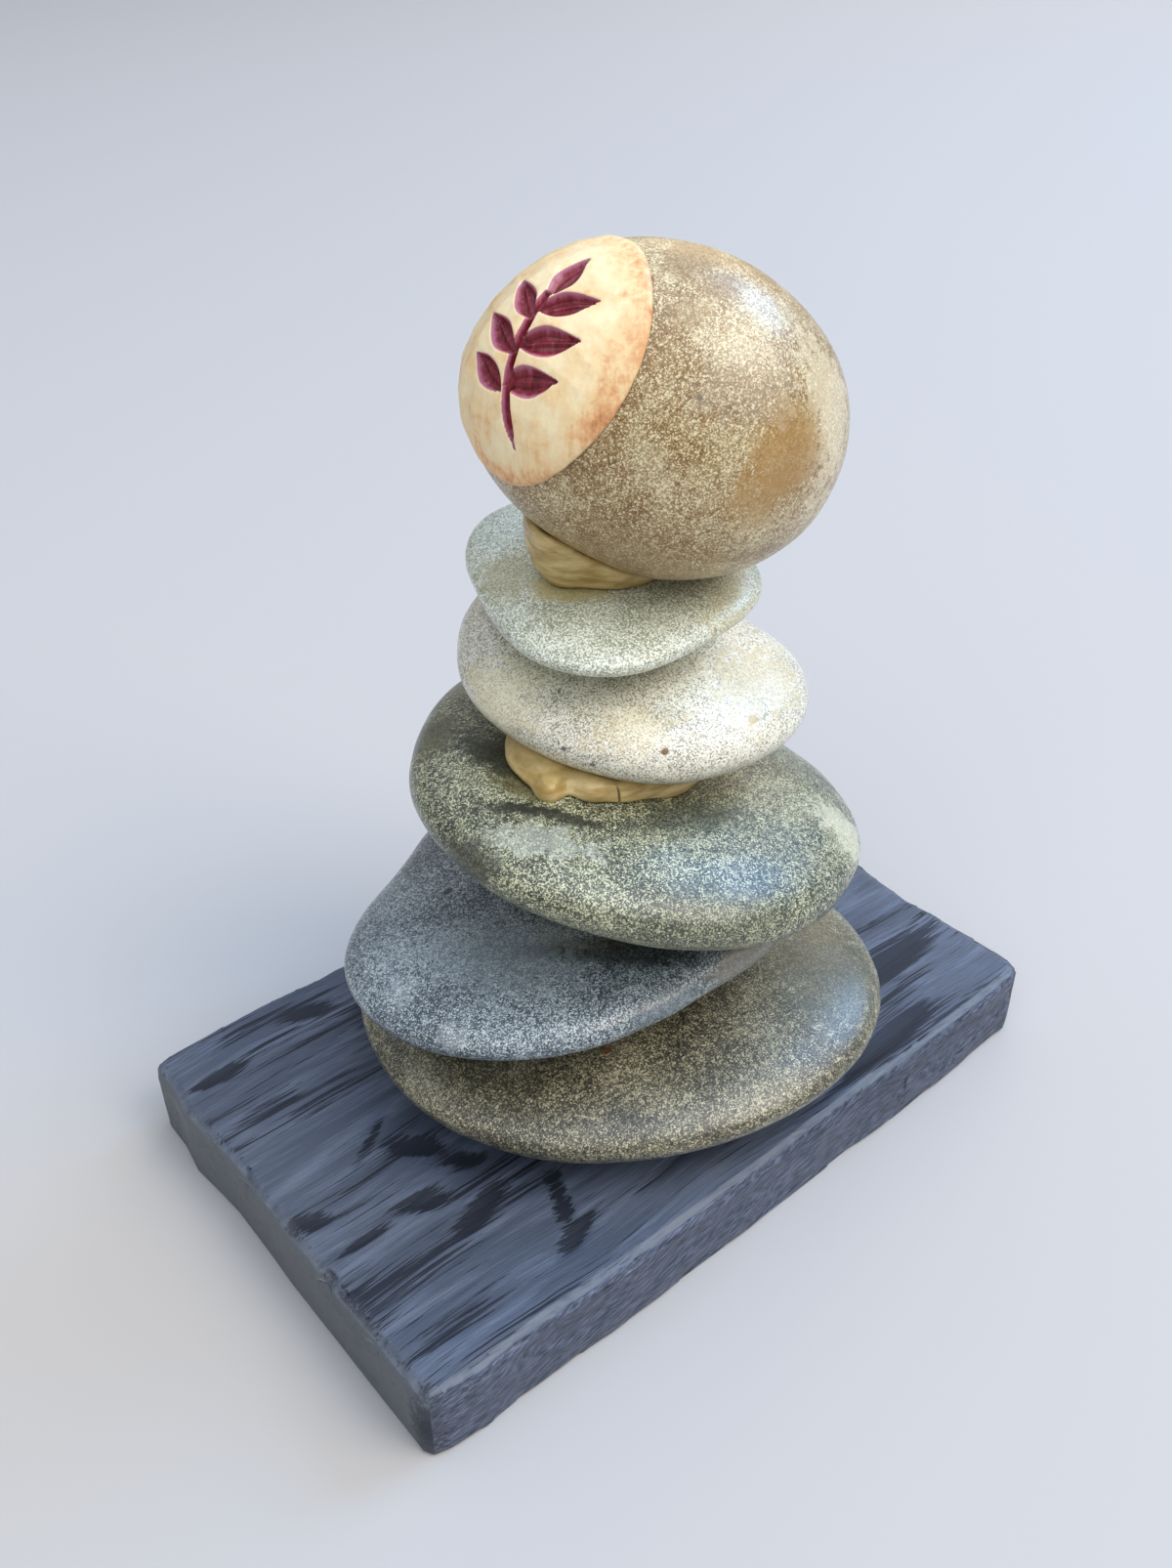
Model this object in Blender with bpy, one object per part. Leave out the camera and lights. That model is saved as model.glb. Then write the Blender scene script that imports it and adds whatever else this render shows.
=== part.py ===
"""Stone cairn: six river stones glued one on another on a painted board, with a clay plaque.

The origin is the middle of the board's underside. +X runs along the board and its grain,
+Y across it and +Z up. Blender's unit is the metre; the tables below are in millimetres
and degrees, and directions are measured from +X towards +Y.
"""

import math
from typing import NamedTuple

import bmesh
import bpy
from mathutils import Matrix, Vector
from mathutils.bvhtree import BVHTree

MM = 0.001
SHARP_ANGLE = 40  # edges that turn more than this are shaded sharp
TOLERANCE = 1e-6
RAY_START = 1.0  # metres from a piece that rays are sent at it, well clear of the cairn

# The board
BOARD_LENGTH = 178
BOARD_WIDTH = 110
BOARD_THICKNESS = 19
BOARD_STEP = 8.0  # spacing of the points along an edge
CORNER_FULLNESS = 0.45  # how far a corner's middle stands out to the sharp corner
TOP_WEAR = 2.4  # width of the worn edge round the top
FOOT_WEAR = 0.8  # width of the softened edge round the underside

# What holds the pieces together
GLUE_FILM = 1.05  # upright distance between two stones where they come closest
GLUE_GAP = 0.4  # a pad of glue to the stone above and below it
PAD_ROWS = 12

# The stones
STONE_CUTS = 8  # cuts across each side of the cube that a stone is blown up from

# The plaque on the top stone
PLAQUE_HALF_SIZE = (17.5, 22.5)
PLAQUE_CORNERS = 2.2  # 2 is an ellipse, and more is squarer
PLAQUE_THICKNESS = 0.8
PLAQUE_GAP = 0.5
PLAQUE_SEAT = 0.9  # how deep the stone is dressed away under the plaque
SEAT_REACH = 1.3  # how far the dressing starts from the plaque's middle, against its outline
PLAQUE_FACES = (176.0, 37.5)  # direction and rise of the way it looks
PLAQUE_SHIFT = -2.5  # sideways from the stone's middle, to the right of one who looks at it
PLAQUE_SECTORS = 32
SEAT_FLOOR = 0.8  # inside this part of the plaque's outline the dressing is at full depth

# From the middle of the back, round the rim and to the middle of the front: the part of the
# way out to the edge, and the part of the thickness
PLAQUE_PROFILE = (
    (0.0, 0.0),
    (0.25, 0.0),
    (0.48, 0.0),
    (0.68, 0.0),
    (0.84, 0.0),
    (0.97, 0.0),
    (1.0, 0.35),
    (0.985, 0.75),
    (0.93, 1.0),
    (0.62, 1.0),
    (0.31, 1.0),
    (0.0, 1.0),
)


class Side(NamedTuple):
    """One side of the board, walked with the board on the left hand."""

    start: tuple  # corner that it starts from, in half-lengths and half-widths
    heading: tuple
    length: float
    corner: float  # size of the corner at its end
    wear: tuple  # (place along the side from its middle, how far it stands out)


SIDES = (
    Side(
        start=(-1, -1),
        heading=(1, 0),
        length=BOARD_LENGTH,
        corner=4.0,
        wear=((-86, -0.1), (-78, 1.0), (-64, 0.1), (-49, 0.5), (0, -0.7), (28, -1.0), (46, 0.3), (80, 0.6)),
    ),
    Side(
        start=(1, -1),
        heading=(0, 1),
        length=BOARD_WIDTH,
        corner=4.0,
        wear=((-48, 0.6), (-32, 0.3), (-18, -0.6), (-3, 1.2), (22, 0.1), (45, 0.5)),
    ),
    Side(
        start=(1, 1),
        heading=(-1, 0),
        length=BOARD_LENGTH,
        corner=5.0,
        wear=((-80, 0.4), (-35, -0.5), (0, 0.5), (39, -0.2), (60, 1.2), (84, 0.7)),
    ),
    Side(
        start=(-1, 1),
        heading=(0, -1),
        length=BOARD_WIDTH,
        corner=3.0,
        wear=((-46, -0.7), (-35, 0.7), (-21, -0.6), (10, 0.2), (50, 0.4)),
    ),
)


class Stone(NamedTuple):
    """A worn stone: a squashed ball whose plan and profile are bent from an ellipse."""

    name: str
    colour: tuple
    roughness: float
    at: tuple  # its middle over the board
    plan: tuple  # half-length and half-width
    crown: float  # rise above its rim
    belly: float  # depth below its rim
    turn: float  # of the half-length from +X
    tilt: tuple  # about X, then about Y
    fullness: tuple  # of crown and belly: 1 is an ellipse, and less is flatter with a fuller rim
    egg: tuple  # (size of the one swelling of the plan, its direction from the half-length)
    tri: tuple  # the same with three swellings
    quad: tuple  # the same with four


STONES = (
    Stone(
        name="bottom_stone",
        colour=(0.16, 0.15, 0.10),
        roughness=0.55,
        at=(0.5, -5.5),
        plan=(60.5, 51.5),
        crown=11.0,
        belly=13.5,
        turn=-42,
        tilt=(-1, 1),
        fullness=(1.04, 0.94),
        egg=(0.02, -155),
        tri=(0.03, 15),
        quad=(0.01, -42),
    ),
    Stone(
        name="slate_stone",
        colour=(0.11, 0.13, 0.16),
        roughness=0.55,
        at=(-8.5, 1.5),
        plan=(54.0, 44.5),
        crown=8.5,
        belly=9.0,
        turn=22,
        tilt=(-4, 1),
        fullness=(0.86, 0.94),
        egg=(0.10, 30),
        tri=(0.08, 42),
        quad=(0.04, 36),
    ),
    Stone(
        name="speckled_stone",
        colour=(0.20, 0.21, 0.16),
        roughness=0.5,
        at=(8.0, -2.5),
        plan=(50.0, 51.0),
        crown=13.0,
        belly=13.0,
        turn=-31,
        tilt=(5, 15),
        fullness=(0.90, 0.96),
        egg=(0.02, 170),
        tri=(0.04, -6),
        quad=(0.02, 18),
    ),
    Stone(
        name="cream_stone",
        colour=(0.50, 0.46, 0.36),
        roughness=0.6,
        at=(8.5, 4.5),
        plan=(38.0, 32.5),
        crown=10.5,
        belly=11.0,
        turn=-67,
        tilt=(8, 4),
        fullness=(0.90, 0.96),
        egg=(0.07, 75),
        tri=(0.05, 30),
        quad=(0.03, 45),
    ),
    Stone(
        name="pale_green_stone",
        colour=(0.34, 0.35, 0.28),
        roughness=0.6,
        at=(6.5, 8.5),
        plan=(28.5, 34.0),
        crown=5.5,
        belly=7.5,
        turn=-26,
        tilt=(3, 0),
        fullness=(0.92, 1.04),
        egg=(0.11, 35),
        tri=(0.08, -3),
        quad=(0.02, -9),
    ),
    Stone(
        name="top_stone",
        colour=(0.36, 0.29, 0.20),
        roughness=0.6,
        at=(12.0, -2.0),
        plan=(37.5, 26.5),
        crown=32.0,
        belly=27.0,
        turn=-30,
        tilt=(14, 21),
        fullness=(0.98, 0.98),
        egg=(0.03, 45),
        tri=(0.03, 45),
        quad=(0.03, 27),
    ),
)


class Pad(NamedTuple):
    """Glue squeezed out between a piece and the stone that stands on it."""

    name: str
    sectors: int
    at: tuple  # its middle over the board
    foot: tuple  # (direction, how far the glue reaches on the piece below)
    lean: tuple  # (direction, how much further it reaches on the stone above)
    bulge: float  # how far its edge swells between the two


PADS = (
    Pad(
        name="glue_base",
        sectors=14,
        at=(0.5, -5.5),
        foot=((0, 18), (180, 20)),
        lean=((0, 0),),
        bulge=0.4,
    ),
    Pad(
        name="glue_slate",
        sectors=14,
        at=(-3, 4),
        foot=((0, 17), (180, 15)),
        lean=((0, 0),),
        bulge=0.4,
    ),
    Pad(
        name="glue_speckled",
        sectors=24,
        at=(4, -8),
        foot=((0, 14), (60, 16), (120, 22), (162, 27), (184, 23), (200, 21), (235, 14), (300, 12)),
        lean=((0, 0), (160, -2.5), (250, -1)),
        bulge=0.6,
    ),
    Pad(
        name="glue_cream",
        sectors=24,
        at=(-2, -2),
        foot=((0, 18), (60, 16), (110, 16), (144, 18.5), (182, 21.5), (201, 21.8), (214, 18.4), (236, 18.6),
              (258, 17.2), (280, 17.8), (306, 21), (330, 18)),
        lean=((0, 0), (120, -1), (182, -5.5), (204, -5.5), (236, -1.5), (300, 0)),
        bulge=1.0,
    ),
    Pad(
        name="glue_pale",
        sectors=14,
        at=(7, 12),
        foot=((0, 12), (180, 13)),
        lean=((0, 0),),
        bulge=0.3,
    ),
    Pad(
        name="glue_top",
        sectors=24,
        at=(9, 8),
        foot=((0, 14), (60, 13), (120, 13), (150, 14.5), (180, 16), (196, 16.8), (213, 13.8), (245, 12.6),
              (280, 12), (310, 13)),
        lean=((0, 0), (130, 0), (160, 2), (188, 4), (215, 3.5), (245, 2), (300, 0)),
        bulge=0.5,
    ),
)

BOARD_COLOUR = (0.075, 0.09, 0.125)
GLUE_COLOUR = (0.50, 0.37, 0.20)
PLAQUE_COLOUR = (0.80, 0.58, 0.34)
UP = Vector((0, 0, 1))


def clear_scene():
    """Remove every object of the start-up scene."""
    for thing in list(bpy.data.objects):
        bpy.data.objects.remove(thing, do_unlink=True)


def finish_material(name, colour, roughness):
    """A Principled material of one colour and roughness."""
    material = bpy.data.materials.new(name)
    material.use_nodes = True
    shader = material.node_tree.nodes["Principled BSDF"]
    shader.inputs["Base Color"].default_value = (*colour, 1.0)
    shader.inputs["Roughness"].default_value = roughness
    material.diffuse_color = (*colour, 1.0)
    return material


def add_object(name, mesh_maker, material):
    """Link a new object whose mesh is what the bmesh holds, and smooth its round parts."""
    mesh = bpy.data.meshes.new(name)
    mesh_maker.to_mesh(mesh)
    mesh_maker.free()
    mesh.shade_smooth()
    mesh.set_sharp_from_angle(angle=math.radians(SHARP_ANGLE))
    mesh.materials.append(material)
    thing = bpy.data.objects.new(name, mesh)
    bpy.context.collection.objects.link(thing)
    return thing


def ease(share):
    """Go smoothly from 0 to 1."""
    return share * share * (3 - 2 * share)


def between(knots, place):
    """Read a smooth line through (place, value) knots, level beyond its ends."""
    if place <= knots[0][0]:
        return knots[0][1]
    for (low, start), (high, end) in zip(knots, knots[1:]):
        if place <= high:
            return start + (end - start) * ease((place - low) / (high - low))
    return knots[-1][1]


def around(knots, direction):
    """Read a smooth closed line through (direction, value) knots; the first is at 0 degrees."""
    closed = (*knots, (360, knots[0][1]))
    return between(closed, math.degrees(direction) % 360)


def polar(direction, reach):
    """A level vector."""
    return Vector((math.cos(direction), math.sin(direction), 0)) * reach


# ---- the board ----


def side_points(side):
    """Points along one side of the board, short of its corners."""
    heading = Vector((*side.heading, 0))
    outward = heading.cross(UP)
    start = Vector((side.start[0] * BOARD_LENGTH / 2, side.start[1] * BOARD_WIDTH / 2, 0))
    room = side.length - 2 * side.corner
    count = round(room / BOARD_STEP)
    for index in range(count + 1):
        place = side.corner + room * index / count
        stands_out = between(side.wear, place - side.length / 2)
        yield start + heading * place + outward * stands_out


def corner_point(last, first, side):
    """The middle of a rounded corner between the last point of a side and the first of the next."""
    heading = Vector((*side.heading, 0))
    sharp = last + heading * (first - last).dot(heading)
    return ((last + first) / 2).lerp(sharp, CORNER_FULLNESS)


def board_outline():
    """The board's worn outline, anticlockwise from above."""
    runs = [list(side_points(side)) for side in SIDES]
    outline = []
    for index, side in enumerate(SIDES):
        following = runs[(index + 1) % len(SIDES)]
        outline += runs[index]
        outline.append(corner_point(runs[index][-1], following[0], side))
    return outline


def rim_edges(maker, height):
    """The edges round the board at one height."""
    return [edge for edge in maker.edges if all(abs(vert.co.z - height) < TOLERANCE for vert in edge.verts)]


def build_board():
    """The board: its outline drawn up to its thickness, with both rims worn round."""
    maker = bmesh.new()
    underside = maker.faces.new([maker.verts.new(point * MM) for point in board_outline()])
    grown = bmesh.ops.extrude_face_region(maker, geom=[underside])["geom"]
    raised = [item for item in grown if isinstance(item, bmesh.types.BMVert)]
    bmesh.ops.translate(maker, verts=raised, vec=UP * BOARD_THICKNESS * MM)
    bmesh.ops.recalc_face_normals(maker, faces=maker.faces)
    for height, wear, steps in ((BOARD_THICKNESS, TOP_WEAR, 2), (0, FOOT_WEAR, 1)):
        bmesh.ops.bevel(
            maker,
            geom=rim_edges(maker, height * MM),
            offset=wear * MM,
            segments=steps,
            profile=0.5,
            affect="EDGES",
            material=-1,
        )
    return add_object("wood_base", maker, finish_material("grey_painted_wood", BOARD_COLOUR, 0.45))


# ---- the stones ----


def lobe(swelling, direction, count):
    """How much a swelling repeated round the plan adds in one direction."""
    size, towards = swelling
    return size * math.cos(count * (direction - math.radians(towards)))


def stone_point(stone, ball):
    """Where a point of the unit ball comes to lie on the stone, about the stone's own middle."""
    direction = math.atan2(ball.y, ball.x)
    half_length, half_width = stone.plan
    reach = 1 / math.hypot(math.cos(direction) / half_length, math.sin(direction) / half_width)
    reach *= (
        1
        + lobe(stone.egg, direction, 1)
        + lobe(stone.tri, direction, 3)
        + lobe(stone.quad, direction, 4)
    )
    upper = ball.z >= 0
    fullness = stone.fullness[0] if upper else stone.fullness[1]
    height = stone.crown if upper else -stone.belly
    level = math.sqrt(max(0.0, 1 - ball.z**2))
    return polar(direction, reach * level**fullness) + UP * height * abs(ball.z) ** fullness


def build_stone(stone):
    """One stone: a cube cut into a grid, blown up to a ball and squashed, then turned and tilted."""
    maker = bmesh.new()
    bmesh.ops.create_cube(maker, size=2)
    bmesh.ops.subdivide_edges(maker, edges=maker.edges[:], cuts=STONE_CUTS, use_grid_fill=True)
    for vert in maker.verts:
        ball = Vector([math.tan(side * math.pi / 4) for side in vert.co]).normalized()
        vert.co = stone_point(stone, ball) * MM
    finish = finish_material(stone.name + "_rock", stone.colour, stone.roughness)
    thing = add_object(stone.name, maker, finish)
    thing.rotation_mode = "ZXY"
    thing.rotation_euler = [math.radians(angle) for angle in (*stone.tilt, stone.turn)]
    thing.location = (stone.at[0] * MM, stone.at[1] * MM, 0)
    return thing


def world_points(thing):
    """An object's points as they lie in the scene."""
    bpy.context.view_layer.update()
    return [thing.matrix_world @ vert.co for vert in thing.data.vertices]


def ray_target(thing):
    """A tree that rays can be sent at, of the object as it lies in the scene."""
    faces = [tuple(polygon.vertices) for polygon in thing.data.polygons]
    return BVHTree.FromPolygons(world_points(thing), faces)


def upright_gaps(points, target, towards):
    """Upright distances from points to what lies straight above or below them."""
    far = UP * RAY_START * towards
    for point in points:
        found = target.ray_cast(point - far, far)[0]
        if found:
            yield (found.z - point.z) * towards


def settle(stone, lower):
    """Lower a stone until only the film of glue is left between it and the piece below."""
    stone.location.z = RAY_START
    gaps = list(upright_gaps(world_points(stone), ray_target(lower), -1))
    gaps += upright_gaps(world_points(lower), ray_target(stone), 1)
    stone.location.z -= min(gaps) - GLUE_FILM * MM


# ---- the glue ----


def sector_ball(sectors, rows):
    """A ball of sectors and rows, and for each point its row from the bottom and its direction."""
    maker = bmesh.new()
    bmesh.ops.create_uvsphere(maker, u_segments=sectors, v_segments=rows, radius=1)
    places = {}
    for vert in maker.verts:
        rise = math.asin(max(-1.0, min(1.0, vert.co.z)))
        row = round((rise / math.pi + 0.5) * rows)
        places[vert] = (row, math.atan2(vert.co.y, vert.co.x))
    return maker, places


def build_pad(pad, lower, upper):
    """A pad of glue: its floor follows the piece below, its roof the stone above, its edge bulges."""
    below, above = ray_target(lower), ray_target(upper)
    middle = Vector((*pad.at, 0)) * MM
    floor_rows = PAD_ROWS // 3  # as many lie on the roof, and the rest make the edge
    wall_rows = PAD_ROWS - 2 * floor_rows

    def on_floor(direction, share):
        spot = middle + polar(direction, around(pad.foot, direction) * share * MM)
        found, facing = below.ray_cast(spot + UP * RAY_START, -UP)[:2]
        return found + facing * GLUE_GAP * MM

    def on_roof(direction, share):
        reach = around(pad.foot, direction) + around(pad.lean, direction)
        spot = middle + polar(direction, reach * share * MM)
        found, facing = above.ray_cast(spot, UP)[:2]
        return found + facing * GLUE_GAP * MM

    maker, places = sector_ball(pad.sectors, PAD_ROWS)
    for vert, (row, direction) in places.items():
        if row <= floor_rows:
            vert.co = on_floor(direction, row / floor_rows)
        elif row >= PAD_ROWS - floor_rows:
            vert.co = on_roof(direction, (PAD_ROWS - row) / floor_rows)
        else:
            share = (row - floor_rows) / wall_rows
            edge = on_floor(direction, 1).lerp(on_roof(direction, 1), share)
            vert.co = edge + polar(direction, pad.bulge * math.sin(share * math.pi) * MM)
    return add_object(pad.name, maker, finish_material(pad.name + "_putty", GLUE_COLOUR, 0.4))


# ---- the plaque ----


def plaque_frame(stone):
    """The plaque's frame: X to the right of one who looks at it, Y up its face, Z out of it."""
    direction, rise = (math.radians(angle) for angle in PLAQUE_FACES)
    outward = polar(direction, math.cos(rise)) + UP * math.sin(rise)
    right = UP.cross(outward).normalized()
    frame = Matrix((right, outward.cross(right), outward)).transposed().to_4x4()
    frame.translation = stone.location + right * PLAQUE_SHIFT * MM
    return frame


def plaque_edge(direction):
    """How far the plaque's outline is from its middle."""
    half_width, half_height = PLAQUE_HALF_SIZE
    across = abs(math.cos(direction) / half_width) ** PLAQUE_CORNERS
    along = abs(math.sin(direction) / half_height) ** PLAQUE_CORNERS
    return (across + along) ** (-1 / PLAQUE_CORNERS)


def dress_seat(stone):
    """Sink the stone's face a little where the plaque is stuck on."""
    frame = plaque_frame(stone)
    to_face = frame.inverted()
    to_stone = stone.matrix_world.inverted()
    for vert, point in zip(stone.data.vertices, world_points(stone)):
        place = to_face @ point
        reach = math.hypot(place.x, place.y)
        share = reach / (plaque_edge(math.atan2(place.y, place.x)) * MM)
        if place.z > 0 and share < SEAT_REACH:
            inward = (stone.location - point).normalized()
            depth = PLAQUE_SEAT * ease(min(1.0, (SEAT_REACH - share) / (SEAT_REACH - SEAT_FLOOR)))
            vert.co = to_stone @ (point + inward * depth * MM)


def build_plaque(stone):
    """The plaque: a thin cap of clay that follows the stone, with a rounded rim."""
    frame = plaque_frame(stone)
    target = ray_target(stone)
    outward = frame.col[2].to_3d()
    maker, places = sector_ball(PLAQUE_SECTORS, len(PLAQUE_PROFILE) - 1)
    for vert, (row, direction) in places.items():
        share, rise = PLAQUE_PROFILE[row]
        spot = frame @ (polar(direction, share * plaque_edge(direction) * MM) + UP * RAY_START)
        found = target.ray_cast(spot, -outward)[0]
        away = (found - stone.location).normalized()
        vert.co = found + away * (PLAQUE_GAP + PLAQUE_THICKNESS * rise) * MM
    return add_object("clay_plaque", maker, finish_material("painted_clay", PLAQUE_COLOUR, 0.5))


def build_cairn():
    """Board, stones from the bottom up with the glue under each, and the plaque."""
    lower = build_board()
    for stone, pad in zip(STONES, PADS):
        upper = build_stone(stone)
        settle(upper, lower)
        build_pad(pad, lower, upper)
        lower = upper
    dress_seat(lower)
    build_plaque(lower)


clear_scene()
build_cairn()
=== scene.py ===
"""Stone cairn: the finished look of six river stones glued on a painted board, with a clay plaque.

The origin is the middle of the board's underside, +X runs along the board and its grain, +Y
across it and +Z up. Blender's unit is the metre. The tables are in millimetres and degrees, and
directions are measured from +X towards +Y.
"""

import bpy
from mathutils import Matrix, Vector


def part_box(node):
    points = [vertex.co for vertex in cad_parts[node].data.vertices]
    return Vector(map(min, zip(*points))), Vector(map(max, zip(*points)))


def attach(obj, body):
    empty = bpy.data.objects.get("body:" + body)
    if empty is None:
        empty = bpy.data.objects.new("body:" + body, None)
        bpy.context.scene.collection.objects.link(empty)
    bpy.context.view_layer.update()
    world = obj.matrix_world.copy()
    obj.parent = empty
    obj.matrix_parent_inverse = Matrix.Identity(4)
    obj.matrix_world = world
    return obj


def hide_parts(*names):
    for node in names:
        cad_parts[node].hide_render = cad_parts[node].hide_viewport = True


bl_info = {
    "name": "Stone Cairn",
    "version": (1, 0, 0),
    "blender": (4, 5, 0),
    "location": "3D View > Sidebar > Cairn",
    "description": "Dresses the solids of a glued stone cairn with their worn surfaces and finishes",
    "category": "Object",
}

import math
from typing import NamedTuple

import bmesh
import bpy
from bpy.props import FloatProperty, FloatVectorProperty, PointerProperty
from mathutils import Matrix, Vector, noise
from mathutils.bvhtree import BVHTree

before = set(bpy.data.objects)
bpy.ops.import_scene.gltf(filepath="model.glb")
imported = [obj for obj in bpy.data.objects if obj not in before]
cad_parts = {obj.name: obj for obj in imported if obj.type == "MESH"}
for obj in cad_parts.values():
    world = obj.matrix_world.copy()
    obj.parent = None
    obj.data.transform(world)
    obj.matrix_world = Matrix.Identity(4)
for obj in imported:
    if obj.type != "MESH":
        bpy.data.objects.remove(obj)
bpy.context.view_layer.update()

MM = 0.001
UP = Vector((0, 0, 1))
MERGE_DISTANCE = 0.001 * MM

# Places of the colour sockets on a Mix node that mixes colours
MIX_FACTOR, MIX_A, MIX_B, MIX_RESULT = 0, 6, 7, 2

# Options that many nodes share
COLOURS_MIXED = {"give": MIX_RESULT, "data_type": "RGBA"}
SCALED_ONTO = {"operation": "MULTIPLY_ADD"}
EASED = {"interpolation_type": "SMOOTHSTEP"}

SMOOTHING = 3  # levels of subdivision, which bring a stone's facet down to about 1.4 mm


def linear(colour):
    """An sRGB hex colour as scene-linear red, green, blue and alpha."""
    parts = [int(colour[place : place + 2], 16) / 255 for place in (1, 3, 5)]
    lit = [part / 12.92 if part <= 0.04045 else ((part + 0.055) / 1.055) ** 2.4 for part in parts]
    return (*lit, 1.0)


def ease(share):
    """Go smoothly from 0 to 1, and stay there outside."""
    share = max(0.0, min(1.0, share))
    return share * share * (3 - 2 * share)


def ramp_up(low, high, value):
    """How far a value is on its smooth way from low to high."""
    return ease((value - low) / (high - low))


# ---- the stones: looks and sizes ----


class Dent(NamedTuple):
    """A hollow in a piece, or with a depth below nothing, a lump on it."""

    at: tuple
    size: tuple  # half-sizes
    turn: float
    depth: float


class Mark(NamedTuple):
    """A stain, vein, crease or speck on a piece; some marks are patches of painted shade and painted light
    instead.
    """

    at: tuple
    size: tuple  # half-sizes
    turn: float
    colour: str
    strength: float
    ragged: float  # how far noise breaks its edge up


class StoneLook(NamedTuple):
    """What a stone is made of and how it has worn, with the shade and light painted on it."""

    node: str
    slot: str
    dark: str  # dark grains
    body: str  # mass between the grains
    light: str  # light grains
    cloud: str  # what the large patches lean to
    cloud_share: float
    fleck: float  # size of the rare large pale grains
    fleck_share: float
    cluster: float  # size of a knot of like grains
    contrast: float  # how far single grains differ
    skew: float  # above 1 few grains are light, below 1 few are dark
    knotting: float  # how far knots of grains differ
    clouding: float  # how far large patches differ
    roughness: float
    swell: float  # height of the long waves of the surface
    marks: tuple
    dents: tuple = ()


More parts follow.
